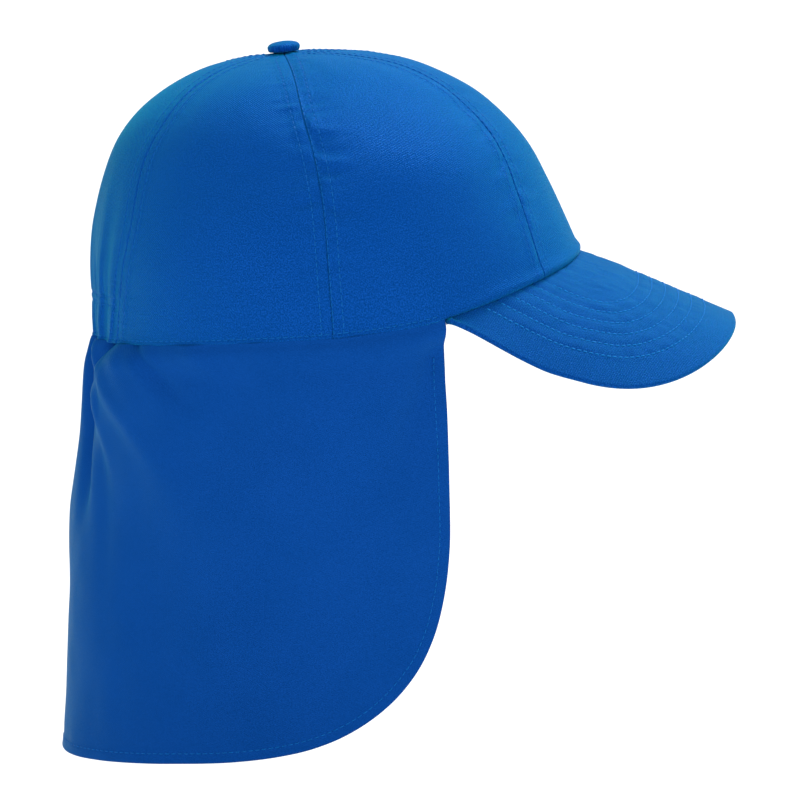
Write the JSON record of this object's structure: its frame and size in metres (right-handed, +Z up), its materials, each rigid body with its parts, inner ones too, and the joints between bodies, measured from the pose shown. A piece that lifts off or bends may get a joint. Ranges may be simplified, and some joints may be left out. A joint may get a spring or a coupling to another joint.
{
  "type": "legionnaire cap",
  "caption": "Sun cap with a domed panelled cloth crown, a curved stitched peak, an inner sweatband and a hanging cloth neck flap.",
  "frame": {"origin": "middle of the head opening, where a head holds the cap", "axes": "+X to the front, along the peak; +Y to the wearer's left; +Z up"},
  "size_m": [0.2802, 0.1675, 0.295],
  "materials": {
    "crown_cloth": "royal blue cotton drill with a fine diagonal twill, slight sheen",
    "peak_cloth": "royal blue cotton drill over a stiff board, rows of matching stitches",
    "flap_cloth": "royal blue cotton drill, one hemmed layer, soft folds",
    "button_cloth": "royal blue cotton drill stretched over a button",
    "sweatband_cloth": "matching cotton band, matt, stitched along both edges"
  },
  "bodies": {
    "root": {"crown_panel_front": "crown_cloth", "crown_panel_front_side_left": "crown_cloth", "crown_panel_front_side_right": "crown_cloth", "crown_panel_back_side_left": "crown_cloth", "crown_panel_back_side_right": "crown_cloth", "crown_panel_back": "crown_cloth", "crown_button": "button_cloth", "peak": "peak_cloth", "sweatband": "sweatband_cloth", "neck_flap": "flap_cloth"}
  },
  "joints": []
}
